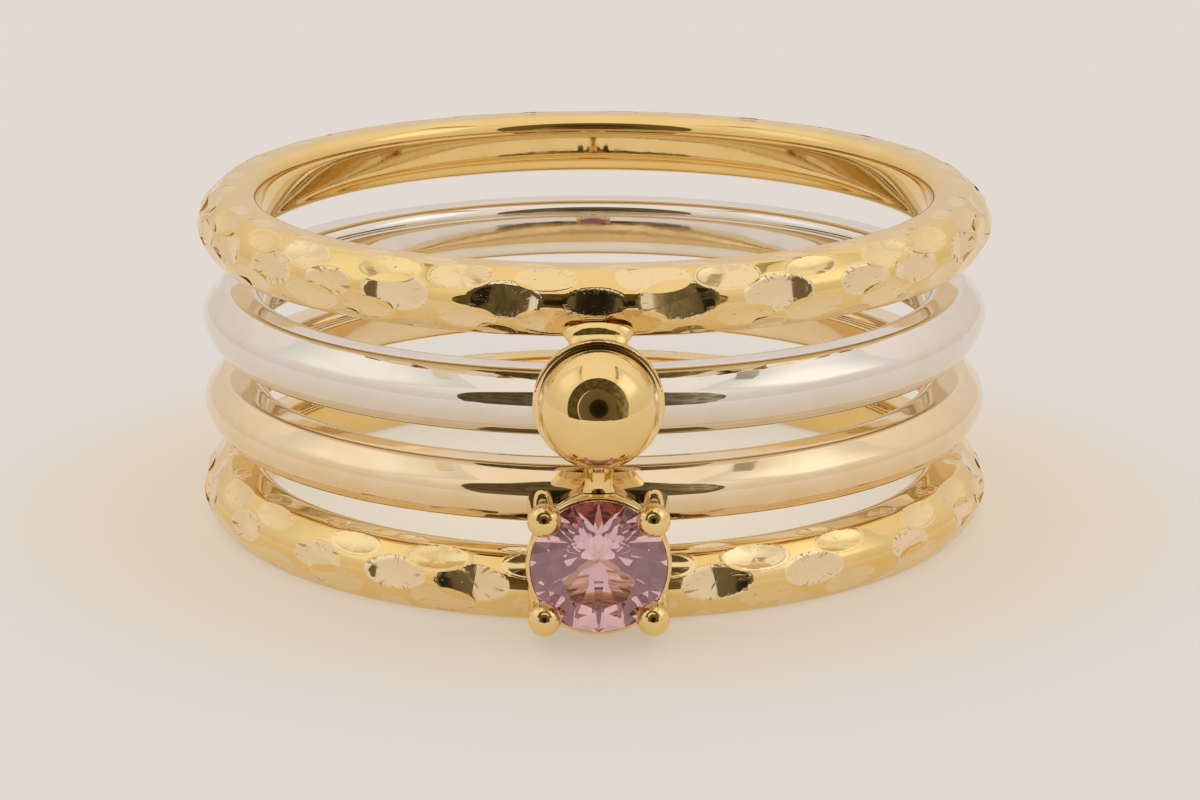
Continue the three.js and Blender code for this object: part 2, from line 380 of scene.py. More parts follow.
def turn_band(name, band, z, grow=0.0):
    """Sweeps the section once round the finger."""
    piece = draw_section(band, grow)
    finish_with(piece, "SMOOTH", factor=0.5, iterations=EDGE_PASSES)
    piece.name = name
    piece.data.name = name
    finish_with(
        piece,
        "SCREW",
        angle=FULL_TURN,
        steps=band["steps"],
        render_steps=band["steps"],
        use_merge_vertices=True,
        merge_threshold=SAME_OUTLINE_POINT * MM,
    )
    face_outwards(piece)
    return settle(piece, Matrix.Translation(Vector((0, axis_y, z)) * MM))


def make_punch(half_length, half_breadth):
    """The domed tip of a punch, which points along +Y. Its UV map holds each point's place, in
    millimetres from the middle of the tip."""
    quarter = math.radians(90)
    bpy.ops.mesh.primitive_uv_sphere_add(segments=44, ring_count=56, radius=MM, rotation=(quarter, 0, 0))
    punch = name_new("punch")
    settle(punch)
    punch.scale = (half_length, PUNCH_DEEP, half_breadth)
    settle(punch)
    start_editing(punch)
    bpy.ops.mesh.select_all(action="SELECT")
    bpy.ops.mesh.bisect(
        plane_co=(0, (PUNCH_DEEP - PUNCH_TIP) * MM, 0),
        plane_no=(0, -1, 0),
        use_fill=True,
        clear_outer=True,
        threshold=HAIR,
    )
    stop_editing()
    for layer in list(punch.data.uv_layers):
        punch.data.uv_layers.remove(layer)
    spread = punch.data.uv_layers.new(name="mark")
    for loop in punch.data.loops:
        place = punch.data.vertices[loop.vertex_index].co / MM
        spread.data[loop.index].uv = (place.x, place.z)
    return punch


def waver(kind, k, row_index, z):
    """A slow wave that keeps the marks from falling evenly."""
    size, along_row, across_rows = WAVERS[kind]
    return size * math.sin(along_row * k + across_rows * row_index + z)


def dent_reach(depth, punch_half, band_curve):
    """How far a dent reaches from its middle, where a round punch meets a round band."""
    return math.sqrt(2 * depth / (PUNCH_DEEP / punch_half**2 + band_curve))


def strike(punch, row_index, k, pattern, z):
    """Sets one blow of the punch against the band. Its UV map gets a unit of its own, in which the
    rim of its dent is an ellipse MARK_SHARE from the middle."""
    row = MARK_ROWS[row_index]
    per_row = pattern["per_row"]
    crest = FINGER_RADIUS + HAMMERED["thickness"]
    place = k if k <= per_row // 2 else k - per_row
    charted = place - pattern["first"]
    stray = waver("stray", k, row_index, z)
    depth = row["depth"] * (1 + waver("depth", k, row_index, z))
    if row_index == MIDDLE_ROW and 0 <= charted < len(pattern["charted"]):
        stray, depth = pattern["charted"][charted]
    azimuth = (k + row["shift"]) * 360 / per_row + stray
    tilt = row["tilt"] + waver("tilt", k, row_index, z)
    twist = waver("twist", k, row_index, z)
    blow = copy_of(punch, "blow")
    blow.matrix_world = (
        Matrix.Translation(Vector((0, axis_y, z)) * MM)
        @ Matrix.Rotation(math.radians(azimuth), 4, "Z")
        @ Matrix.Translation(Vector((0, row["drop"] - crest, row["height"])) * MM)
        @ Matrix.Rotation(math.radians(-tilt), 4, "X")
        @ Matrix.Rotation(math.radians(twist), 4, "Y")
        @ Matrix.Translation(Vector((0, depth - PUNCH_DEEP, 0)) * MM)
    )
    half_length, half_breadth = row["punch"]
    along = dent_reach(depth, half_length, math.cos(math.radians(tilt)) / crest)
    across = dent_reach(depth, half_breadth, 1 / row["bend"])
    for corner in blow.data.uv_layers["mark"].data:
        u = max(-MARK_LIMIT, min(MARK_LIMIT, MARK_SHARE * corner.uv.x / along))
        v = max(-MARK_LIMIT, min(MARK_LIMIT, MARK_SHARE * corner.uv.y / across))
        corner.uv = (k + 0.5 + u, row_index + 0.5 + v)
    return blow


def hammer(piece, z, pattern, material):
    """Strikes the rows of marks all round a band, then polishes the ridges between them."""
    blows = []
    for row_index, row in enumerate(MARK_ROWS):
        punch = make_punch(*row["punch"])
        punch.data.materials.append(material)
        blows += [strike(punch, row_index, k, pattern, z) for k in range(pattern["per_row"])]
        bpy.data.objects.remove(punch)
    select_only(*blows)
    bpy.ops.object.join()
    all_blows = settle(bpy.context.object)
    join_or_cut(piece, all_blows, "DIFFERENCE")
    finish_with(piece, "SMOOTH", factor=0.5, iterations=RIDGE_PASSES)
    return smooth(piece, MARK_CREASE)


# ---- ball and cup -------------------------------------------------------------------------------


def make_ball(name, radius):
    """A round ball whose poles lie fore and aft."""
    bpy.ops.mesh.primitive_uv_sphere_add(segments=160, ring_count=96, radius=radius * MM)
    ball = name_new(name)
    return settle(ball, forward_from(ball_at.y, ball_at.z))


def solder_up(piece):
    """Runs the joints of a fitting together, as solder does, and polishes it."""
    finish_with(piece, "REMESH", mode="VOXEL", voxel_size=SOLDER_GRAIN * MM)
    finish_with(piece, "SMOOTH", factor=0.6, iterations=SOLDER_PASSES)
    return piece


def make_cup():
    cup = settle(turned("ball_cup_gold", CUP_WALL, 120), forward_from(cup_foot_y, ball_at.z))
    band_z = middle("hammered_band_upper").z / MM
    heart_y = axis_y - FINGER_RADIUS - HAMMERED["thickness"] + UPPER_NECK_AIM
    lean = Vector((0, heart_y - ball_at.y, band_z - ball_at.z)).normalized()
    upper = turned("upper_neck", UPPER_NECK, 96)
    upper.scale = (1, UPPER_NECK_FLATNESS, 1)
    settle(upper)
    settle(upper, Matrix.Translation(ball_at * MM) @ turn_to(lean))
    lower = turned("lower_neck", LOWER_NECK, 96)
    collet_top = stone_z + COLLET_WALL[2][1]
    settle(lower, Matrix.Translation(Vector((0, axis_y - LOWER_NECK_AT, collet_top)) * MM))
    join_or_cut(cup, upper, "UNION")
    join_or_cut(cup, lower, "UNION")
    solder_up(cup)
    join_or_cut(cup, make_ball("seat", BALL_RADIUS + JOINT_GAP), "DIFFERENCE")
    for band, node in ((WHITE, "white_band"), (HAMMERED, "hammered_band_upper")):
        space = turn_band("space", band, middle(node).z / MM, JOINT_GAP)
        join_or_cut(cup, space, "DIFFERENCE")
    grown = [(along, radius + JOINT_GAP) for along, radius in COLLET_WALL]
    space = settle(turned("space", grown, 96), forward_from(collet_foot_y, stone_z))
    join_or_cut(cup, space, "DIFFERENCE")
    return smooth(cup, CREASE)


# ---- stone --------------------------------------------------------------------------------------


def gem_point(share, turn, height, grow):
    """A point of the stone: turn is its way round from the top, in degrees."""
    radius = share * (STONE_RADIUS + grow)
    angle = math.radians(turn)
    return Vector((radius * math.sin(angle), girdle_y - height, stone_z + radius * math.cos(angle)))


def sideways(turn):
    """The direction along the stone's edge at a turn."""
    return Vector((math.cos(math.radians(turn)), 0, -math.sin(math.radians(turn))))


def facet_planes(grow):
    """Three points for each flat that the cutter grinds on a round brilliant."""
    slope = (STONE_CROWN - STONE_GIRDLE) / (1 - STONE_TABLE)
    half_step = STONE_STEP / 2
    lean = math.cos(math.radians(half_step))
    star_height = STONE_CROWN - (STONE_STAR * lean - STONE_TABLE) * slope
    lower_height = -STONE_PAVILION + STONE_LOWER * lean * (STONE_PAVILION - STONE_GIRDLE)
    culet = gem_point(0, 0, -STONE_PAVILION, grow)
    planes = [[gem_point(STONE_TABLE, turn, STONE_CROWN, grow) for turn in (0, 120, 240)]]
    heart_height = -STONE_PAVILION * (1 - STONE_HEART) - STONE_GIRDLE
    heart_rise = STONE_HEART * STONE_RADIUS * math.tan(math.radians(STONE_HEART_SLOPE))
    for k in range(STONE_SIDES):
        main = STONE_STEP * k
        table = gem_point(STONE_TABLE, main, STONE_CROWN, grow)
        crown_edge = gem_point(1, main, STONE_GIRDLE, grow)
        planes.append([table, crown_edge, crown_edge + sideways(main)])
        star_tip = gem_point(STONE_STAR, main + half_step, star_height, grow)
        planes.append([table, gem_point(STONE_TABLE, main + STONE_STEP, STONE_CROWN, grow), star_tip])
        heart_tip = gem_point(STONE_HEART, main + half_step, heart_height, grow)
        heart_peak = gem_point(0, 0, heart_height - heart_rise, grow)
        planes.append([heart_tip, heart_tip + sideways(main + half_step), heart_peak])
        back_edge = gem_point(1, main, -STONE_GIRDLE, grow)
        planes.append([culet, back_edge, back_edge + sideways(main)])
        for side in (-1, 1):
            between = main + side * half_step
            tip = gem_point(STONE_STAR, between, star_height, grow)
            planes.append([tip, crown_edge, gem_point(1, between, STONE_GIRDLE, grow)])
            low_tip = gem_point(STONE_LOWER, between, lower_height, grow)
            planes.append([low_tip, back_edge, gem_point(1, between, -STONE_GIRDLE, grow)])
    return planes


def cut_stone(name, grow=0.0):
    """Grinds every facet onto a round blank."""
    bpy.ops.mesh.primitive_cylinder_add(vertices=96, radius=(STONE_RADIUS + grow) * MM, depth=4 * MM)
    stone = settle(name_new(name), forward_from(girdle_y, stone_z))
    heart = Vector((0, girdle_y, stone_z))
    start_editing(stone)
    for first, second, third in facet_planes(grow):
        normal = (second - first).cross(third - first).normalized()
        if normal.dot(first - heart) < 0:
            normal.negate()
        bpy.ops.mesh.select_all(action="SELECT")
        bpy.ops.mesh.bisect(
            plane_co=(first + normal * grow) * MM,
            plane_no=normal,
            use_fill=True,
            clear_outer=True,
            threshold=HAIR,
        )
    stop_editing()
    return face_outwards(stone)


# ---- claw setting -------------------------------------------------------------------------------


def make_claw(side, level):
    """A round shank that runs forward from the band and ends in a ball over the stone's edge."""
    tip = Vector((side * CLAW_ACROSS, girdle_y - CLAW_TIP_FORWARD, stone_z + level * CLAW_UP))
    foot = Vector((side * CLAW_FOOT_ACROSS, axis_y - CLAW_FOOT, stone_z + level * CLAW_FOOT_UP))
    run = tip - foot
    bpy.ops.mesh.primitive_cylinder_add(vertices=64, radius=CLAW_SHANK * MM, depth=run.length * MM)
    shank = name_new("shank")
    settle(shank, Matrix.Translation((foot + run / 2) * MM) @ turn_to(run))
    bpy.ops.mesh.primitive_uv_sphere_add(segments=64, ring_count=40, radius=CLAW_TIP * MM)
    ball = settle(name_new("tip"), Matrix.Translation(tip * MM))
    return join_or_cut(shank, ball, "UNION")


def make_setting():
    """The collet and its four claws are soldered up, then hollowed and notched for the stone."""
    collet = settle(turned("claw_setting_gold", COLLET_WALL, 160), forward_from(collet_foot_y, stone_z))
    for side in (-1, 1):
        for level in (-1, 1):
            join_or_cut(collet, make_claw(side, level), "UNION")
    solder_up(collet)
    hollow = settle(turned("hollow", COLLET_BORE, 160), forward_from(collet_foot_y, stone_z))
    join_or_cut(collet, hollow, "DIFFERENCE")
    join_or_cut(collet, cut_stone("space", JOINT_GAP), "DIFFERENCE")
    for band, node in ((PLAIN, "plain_band"), (HAMMERED, "hammered_band_lower")):
        space = turn_band("space", band, middle(node).z / MM, JOINT_GAP)
        join_or_cut(collet, space, "DIFFERENCE")
    return smooth(collet, CREASE)


# ---- finishes -----------------------------------------------------------------------------------

GOLD = (0.94, 0.7, 0.325, 1)
DEEP_GOLD = (0.91, 0.665, 0.285, 1)
RICH_GOLD = (0.93, 0.675, 0.29, 1)
DEEP_RICH_GOLD = (0.9, 0.64, 0.25, 1)
PALE_GOLD = (0.94, 0.76, 0.52, 1)
DEEP_PALE_GOLD = (0.91, 0.71, 0.44, 1)
FRESH_GOLD = (0.96, 0.79, 0.53, 1)
# Painted reflection tones: the greyer golds that a gold takes where it is seen in another polished face.
PAINTED_REFLECTED_GOLD = (0.8, 0.68, 0.45, 1)
WHITE_GOLD = (0.88, 0.82, 0.75, 1)
DEEP_WHITE_GOLD = (0.85, 0.78, 0.7, 1)
PAINTED_REFLECTED_WHITE_GOLD = (0.8, 0.76, 0.7, 1)
CUT_BROWN = (0.36, 0.2, 0.075, 1)
PINK = (0.85, 0.53, 0.62, 1)
PEACH_PINK = (0.87, 0.58, 0.6, 1)
GEM_IOR = 1.64

# Heights that polishing and the punch leave, in millimetres.
SLOW_WAVE, FINE_WAVE, POLISH_LINE = 0.0009, 0.00015, 0.00004
FLUTE_HEIGHT, CUT_HEIGHT, RIM_HEIGHT = 0.009, -0.004, -0.035
LINES_PER_METRE = 9000.0
FLUTES = 8  # slopes round a mark, which tip to and fro


def new_group(name, inputs, outputs):
    group = bpy.data.node_groups.new(name, "ShaderNodeTree")
    for title, kind, default in inputs:
        socket = group.interface.new_socket(title, in_out="INPUT", socket_type=kind)
        socket.default_value = default
    for title, kind in outputs:
        group.interface.new_socket(title, in_out="OUTPUT", socket_type=kind)
    return group, group.nodes.new("NodeGroupInput"), group.nodes.new("NodeGroupOutput")


def feed(tree, socket, value):
    """Joins a socket to another, or sets it to a plain value."""
    if isinstance(value, bpy.types.NodeSocket):
        tree.links.new(value, socket)
    else:
        socket.default_value = value


def math_node(tree, operation, *values):
    node = tree.nodes.new("ShaderNodeMath")
    node.operation = operation
    for socket, value in zip(node.inputs, values):
        feed(tree, socket, value)
    return node.outputs[0]


def vector_node(tree, operation, *values):
    node = tree.nodes.new("ShaderNodeVectorMath")
    node.operation = operation
    for socket, value in zip(node.inputs, values):
        feed(tree, socket, value)
    return node.outputs["Value" if operation == "DISTANCE" else "Vector"]


def split(tree, vector):
    node = tree.nodes.new("ShaderNodeSeparateXYZ")
    feed(tree, node.inputs[0], vector)
    return node.outputs


def combine(tree, *parts):
    node = tree.nodes.new("ShaderNodeCombineXYZ")
    for socket, part in zip(node.inputs, parts):
        feed(tree, socket, part)
    return node.outputs[0]


def length_of(tree, x, y):
    """How far the point x, y is from the middle."""
    squares = [math_node(tree, "MULTIPLY", side, side) for side in (x, y)]
    return math_node(tree, "SQRT", math_node(tree, "ADD", *squares))


def noise_node(tree, vector, scale, detail, roughness):
    node = tree.nodes.new("ShaderNodeTexNoise")
    feed(tree, node.inputs["Vector"], vector)
    for title, value in (("Scale", scale), ("Detail", detail), ("Roughness", roughness)):
        node.inputs[title].default_value = value
    return node.outputs["Fac"]


def map_range(tree, value, low, high, to_low, to_high, kind="SMOOTHSTEP"):
    node = tree.nodes.new("ShaderNodeMapRange")
    node.interpolation_type = kind
    feed(tree, node.inputs["Value"], value)
    for title, number in zip(("From Min", "From Max", "To Min", "To Max"), (low, high, to_low, to_high)):
        node.inputs[title].default_value = number
    return node.outputs["Result"]


def mix_colour(tree, factor, a, b):
    node = tree.nodes.new("ShaderNodeMix")
    node.data_type = "RGBA"
    for title, value in (("Factor", factor), ("A", a), ("B", b)):
        feed(tree, next(s for s in node.inputs if s.name == title and s.enabled), value)
    return next(s for s in node.outputs if s.enabled)


def colour_ramp(tree, value, stops, kind="LINEAR"):
    node = tree.nodes.new("ShaderNodeValToRGB")
    feed(tree, node.inputs[0], value)
    ramp = node.color_ramp
    ramp.interpolation = kind
    while len(ramp.elements) < len(stops):
        ramp.elements.new(0.5)
    for element, (position, colour) in zip(ramp.elements, stops):
        element.position = position
        element.color = colour
    return node.outputs[0]


def own_place(tree):
    return tree.nodes.new("ShaderNodeTexCoord").outputs["Object"]


def make_polish_group():
    """Hand polishing: long faint lines that run round the finger, a fine unevenness and a slow haze.
    Height is in millimetres."""
    group, start, end = new_group(
        "polish",
        [("Vector", "NodeSocketVector", (0, 0, 0)), ("Haze", "NodeSocketFloat", 0.05)],
        [("Roughness", "NodeSocketFloat"), ("Height", "NodeSocketFloat"), ("Tone", "NodeSocketFloat")],
    )
    from_axis = vector_node(group, "SUBTRACT", start.outputs["Vector"], (0, axis_y * MM, 0))
    x, y, z = split(group, from_axis)
    around = math_node(group, "MULTIPLY", math_node(group, "ARCTAN2", y, x), 3.0)
    reach = math_node(group, "MULTIPLY", length_of(group, x, y), LINES_PER_METRE)
    height = math_node(group, "MULTIPLY", z, LINES_PER_METRE)
    lines = noise_node(group, combine(group, around, reach, height), 1.0, 3.0, 0.6)
    in_millimetres = vector_node(group, "MULTIPLY", from_axis, (1 / MM, 1 / MM, 1 / MM))
    slow = noise_node(group, in_millimetres, 0.9, 3.0, 0.55)
    fine = noise_node(group, in_millimetres, 7.0, 2.0, 0.5)
    haze = map_range(group, slow, 0.35, 0.75, 0.0, 1.0)
    rough = math_node(group, "MULTIPLY_ADD", haze, 0.6, 0.7)
    feed(group, end.inputs["Roughness"], math_node(group, "MULTIPLY", rough, start.outputs["Haze"]))
    waves = math_node(group, "MULTIPLY", lines, POLISH_LINE)
    waves = math_node(group, "MULTIPLY_ADD", fine, FINE_WAVE, waves)
    feed(group, end.inputs["Height"], math_node(group, "MULTIPLY_ADD", slow, SLOW_WAVE, waves))
    feed(group, end.inputs["Tone"], slow)
    return group


def make_burst_group():
    """The sunburst that a textured punch leaves: fine cuts run out from the middle of each mark,
    deeper near its rim, between flutes that tip to and fro. Height is in millimetres."""
    group, start, end = new_group(
        "sunburst",
        [("Mark", "NodeSocketVector", (0, 0, 0)), ("Cuts", "NodeSocketFloat", 1.0)],
        [("Cut", "NodeSocketFloat"), ("Height", "NodeSocketFloat"), ("Tone", "NodeSocketFloat")],
    )
    mark = start.outputs["Mark"]
    number = vector_node(group, "FLOOR", mark)
    within = split(group, vector_node(group, "FRACTION", mark))
    dice = group.nodes.new("ShaderNodeTexWhiteNoise")
    dice.noise_dimensions = "2D"
    feed(group, dice.inputs["Vector"], number)
    chance = dice.outputs["Value"]
    u = math_node(group, "MULTIPLY_ADD", within[0], 1 / MARK_SHARE, -0.5 / MARK_SHARE)
    v = math_node(group, "MULTIPLY_ADD", within[1], 1 / MARK_SHARE, -0.5 / MARK_SHARE)
    out = length_of(group, u, v)
    across = math_node(group, "MULTIPLY", v, MARK_HALF_WIDTH)
    along = math_node(group, "MULTIPLY", u, MARK_HALF_LENGTH)
    angle = math_node(group, "ARCTAN2", across, along)

    # Cuts: a noise that is drawn out along each ray, strongest in the middle row and near the rim.
    layer = math_node(group, "MULTIPLY_ADD", chance, 37.0, math_node(group, "MULTIPLY", out, 0.35))
    ray = combine(group, math_node(group, "COSINE", angle), math_node(group, "SINE", angle), layer)
    cut = map_range(group, noise_node(group, ray, 5.5, 1.0, 0.5), 0.6, 0.68, 0.0, 0.85)
    middle_row = math_node(group, "COMPARE", split(group, number)[1], float(MIDDLE_ROW), 0.5)
    cut = math_node(group, "MULTIPLY", cut, math_node(group, "MULTIPLY_ADD", middle_row, 0.75, 0.25))
    near_rim = map_range(group, out, 0.45, 0.8, 0.0, 1.0)
    speck = map_range(group, noise_node(group, mark, 15.0, 2.0, 0.6), 0.69, 0.74, 0.0, 1.0)
    cut = math_node(group, "MAXIMUM", math_node(group, "MULTIPLY", cut, near_rim), speck)
    cut = math_node(group, "MULTIPLY", cut, start.outputs["Cuts"])
    feed(group, end.inputs["Cut"], cut)

    # Flutes, cuts and the rolled rim, each on top of the one before.
    seat = math_node(group, "MULTIPLY_ADD", chance, 40.0, angle)
    flutes = math_node(group, "PINGPONG", math_node(group, "MULTIPLY", seat, FLUTES / FULL_TURN), 1.0)
    height = math_node(group, "MULTIPLY", math_node(group, "MULTIPLY", flutes, out), FLUTE_HEIGHT)
    height = math_node(group, "MULTIPLY_ADD", cut, CUT_HEIGHT, height)
    roll = math_node(group, "POWER", map_range(group, out, 0.8, 1.08, 0.0, 1.0, "LINEAR"), 2.0)
    feed(group, end.inputs["Height"], math_node(group, "MULTIPLY_ADD", roll, RIM_HEIGHT, height))

    tone = math_node(group, "MULTIPLY_ADD", middle_row, 0.5, math_node(group, "MULTIPLY", chance, 0.5))
    feed(group, end.inputs["Tone"], tone)
    return group


def new_material(name):
    material = bpy.data.materials.new(name)
    material.use_nodes = True
    tree = material.node_tree
    return material, tree, tree.nodes["Principled BSDF"]


def add_group(tree, group, **values):
    node = tree.nodes.new("ShaderNodeGroup")
    node.node_tree = group
    for title, value in values.items():
        feed(tree, node.inputs[title], value)
    return node.outputs


def painted_reflection_tone(tree, first, painted_reflected):
    """A painted reflection tone: the metal's colour turns greyer, by ray depth, where it is seen in another
    polished face.
    """
    depth = tree.nodes.new("ShaderNodeLightPath").outputs["Ray Depth"]
    return mix_colour(tree, map_range(tree, depth, 0.0, 2.0, 0.0, 1.0, "LINEAR"), first, painted_reflected)


def make_uneven(tree, surface, height):
    """Tips the light on a surface by a height in millimetres."""
    bump = tree.nodes.new("ShaderNodeBump")
    bump.inputs["Distance"].default_value = MM
    feed(tree, bump.inputs["Height"], height)
    feed(tree, surface.inputs["Normal"], bump.outputs["Normal"])


def polished_metal(name, bright, deep, painted_reflected, haze, polish):
    """A mirror-polished metal, a little deeper in tone where the polish is slow."""
    material, tree, surface = new_material(name)
    surface.inputs["Metallic"].default_value = 1.0
    hand = add_group(tree, polish, Vector=own_place(tree), Haze=haze)
    tone = map_range(tree, hand["Tone"], 0.3, 0.7, 0.0, 1.0)
    # Greyer where seen in another polished face: a painted reflection tone.
    feed(tree, surface.inputs["Base Color"], painted_reflection_tone(tree, mix_colour(tree, tone, bright, deep), painted_reflected))
    feed(tree, surface.inputs["Roughness"], hand["Roughness"])
    make_uneven(tree, surface, hand["Height"])
    return material


def marked_gold(name, bright, deep, painted_reflected, cut_colour, polish, burst):
    """The inside of a hammer mark."""
    material, tree, surface = new_material(name)
    surface.inputs["Metallic"].default_value = 1.0
    uv = tree.nodes.new("ShaderNodeUVMap")
    uv.uv_map = "mark"
    hand = add_group(tree, polish, Vector=own_place(tree), Haze=0.09)
    rays = add_group(tree, burst, Mark=uv.outputs["UV"], Cuts=0.85)
    # Greyer where seen in another polished face: a painted reflection tone.
    clean = painted_reflection_tone(tree, mix_colour(tree, rays["Tone"], deep, bright), painted_reflected)
    feed(tree, surface.inputs["Base Color"], mix_colour(tree, rays["Cut"], clean, cut_colour))
    rough = math_node(tree, "MULTIPLY_ADD", rays["Cut"], 0.3, hand["Roughness"])
    feed(tree, surface.inputs["Roughness"], rough)
    make_uneven(tree, surface, math_node(tree, "ADD", rays["Height"], hand["Height"]))
    return material


def pink_gem(name):
    material, tree, surface = new_material(name)
    zone = map_range(tree, noise_node(tree, own_place(tree), 900.0, 1.0, 0.5), 0.35, 0.65, 0.0, 1.0)
    feed(tree, surface.inputs["Base Color"], mix_colour(tree, zone, PINK, PEACH_PINK))
    surface.inputs["Transmission Weight"].default_value = 1.0
    surface.inputs["Roughness"].default_value = 0.0
    surface.inputs["IOR"].default_value = GEM_IOR
    return material


# ---- stage --------------------------------------------------------------------------------------

# The camera's place, in millimetres from the foot of the finger axis, and its turn in degrees.
CAMERA_AT = (-0.78, -89.507, 27.63)
CAMERA_DOWN, CAMERA_ASIDE = 15.577, -0.593
CAMERA_LENS = 108.22

FLOOR_WIDTH, FLOOR_LENGTH = 0.9, 0.6  # metres
FLOOR_FRONT = -55.0
# The floor's painted tone at each distance from the ring's axis, in millimetres: a pale warm glow inside
# the ring, a deeper warm shade round it, then the plain floor.
FLOOR_PAINTED_GLOW = (
    (7.5, (0.56, 0.52, 0.45, 1)),
    (11.0, (0.5, 0.447, 0.375, 1)),
    (17.0, (0.475, 0.452, 0.433, 1)),
)
FLOOR_GLOW = (0.889, 0.725)  # at its front, and where the ring stands
FLOOR_GLOW_BACK = -15.0

TENT = (0.7, 0.64, 0.59, 1)
TENT_SIDE = (0.72, 0.65, 0.57, 1)
TENT_TOP = (0.93, 0.87, 0.81, 1)

PANEL_TONE = (1.0, 0.975, 0.94, 1)
PANEL_REST, PANEL_FADE = 0.75, 0.75  # the strength at a panel's edge, and the share that fades
PANEL_AWAY, PANEL_WIDTH, PANEL_HEIGHT = 120, 104, 96
GAP_TONE = (0.6, 0.52, 0.4, 1)
GAP_AWAY, GAP_WIDTH = 118, 62

FRONT_AWAY, FRONT_REACH = 100.0, 38  # millimetres from the ball, and degrees from its middle
FRONT_SPAN = 40.0  # degrees that the stops run over
FRONT_STOPS = ((0.0, 0.02), (0.2, 0.012), (0.42, 0.03), (0.47, 0.12), (0.9, 0.15), (1.0, 0.1))
FRONT_IN_STONE = (0.26, 0.19, 0.2, 1)

HOOD_RADIUS, HOOD_WIDTH = 9.0, 5.0
HOOD_AWAY, HOOD_ASIDE = 6.0, Vector((-0.5, 0, 0))
HOOD_CUT = 0.7  # how far below the ball's middle the hood ends
# The hood's darker and lighter tones, each at its left and at its right: a painted dark reflection.
HOOD_DARK = ((0.06, 0.045, 0.02, 1), (0.16, 0.13, 0.07, 1))
HOOD_LIGHT = ((0.13, 0.1, 0.045, 1), (0.38, 0.33, 0.22, 1))


def only_reflected(sheet):
    """Marks a sheet as stage that shows in polished metal alone."""
    sheet.visible_camera = False
    sheet.visible_diffuse = False
    sheet.visible_shadow = False


def make_floor():
    """A plain pale sheet that ends in front of the ring and runs far back. Painted on it by distance from
    the ring's axis are a pale warm glow inside the ring and a deeper warm shade close in front: painted
    light where the polished gold would throw it."""
    bpy.ops.mesh.primitive_plane_add(size=1)
    floor = name_new("floor")
    floor.scale = (FLOOR_WIDTH, FLOOR_LENGTH, 1)
    floor.location = (0, FLOOR_LENGTH / 2 + FLOOR_FRONT * MM, 0)
    settle(floor)
    material, tree, surface = new_material("pale_sheet")
    surface.inputs["Roughness"].default_value = 0.9
    surface.inputs["Specular IOR Level"].default_value = 0.1
    place = own_place(tree)
    from_axis = vector_node(tree, "DISTANCE", place, (0, axis_y * MM, 0))
    reach = FLOOR_PAINTED_GLOW[-1][0]
    stops = [(away / reach, tone) for away, tone in FLOOR_PAINTED_GLOW]
    # The painted glow and shade colour both the floor and its own glow.
    tone = colour_ramp(tree, math_node(tree, "DIVIDE", from_axis, reach * MM), stops, "EASE")
    feed(tree, surface.inputs["Base Color"], tone)
    feed(tree, surface.inputs["Emission Color"], tone)
    glow = map_range(tree, split(tree, place)[1], FLOOR_FRONT * MM, FLOOR_GLOW_BACK * MM, *FLOOR_GLOW)
    feed(tree, surface.inputs["Emission Strength"], glow)
    floor.data.materials.append(material)


def new_glow(name):
    """A material that only glows: its glow node's colour and strength are still to be fed."""
    material, tree, surface = new_material(name)
    tree.nodes.remove(surface)
    glow = tree.nodes.new("ShaderNodeEmission")
    feed(tree, tree.nodes["Material Output"].inputs["Surface"], glow.outputs[0])
    return material, tree, glow


def hang(name, aim, direction, distance, width, height, material):
    """Hangs a flat sheet that faces the ring, its top edge upwards."""
    bpy.ops.mesh.primitive_plane_add(size=1)
    sheet = name_new(name)
    sheet.scale = (width * MM, height * MM, 1)
    settle(sheet)
    away = Vector(direction).normalized()
    turn = away.to_track_quat("-Z", "Y").to_matrix().to_4x4()
    settle(sheet, Matrix.Translation(aim + away * distance * MM) @ turn)
    sheet.data.materials.append(material)
    only_reflected(sheet)


def soft_panel(name, level):
    """A lit sheet that fades out towards its edges."""
    material, tree, glow = new_glow(name)
    across = split(tree, tree.nodes.new("ShaderNodeTexCoord").outputs["UV"])
    fades = []
    for part in across[:2]:
        away = math_node(tree, "ABSOLUTE", math_node(tree, "MULTIPLY_ADD", part, 2.0, -1.0))
        fades.append(map_range(tree, away, 1.0 - PANEL_FADE, 1.0, 1.0, 0.0))
    fade = math_node(tree, "MULTIPLY", *fades)
    glow.inputs["Color"].default_value = PANEL_TONE
    feed(tree, glow.inputs["Strength"], math_node(tree, "MULTIPLY_ADD", fade, level, PANEL_REST))
    return material


def plain_dark(name, colour):
    """An unlit gap between two lit sheets, darker in places."""
    material, tree, glow = new_glow(name)
    glow.inputs["Color"].default_value = colour
    folds = map_range(tree, noise_node(tree, own_place(tree), 30.0, 2.0, 0.5), 0.3, 0.7, 0.6, 1.3)
    feed(tree, glow.inputs["Strength"], folds)
    return material


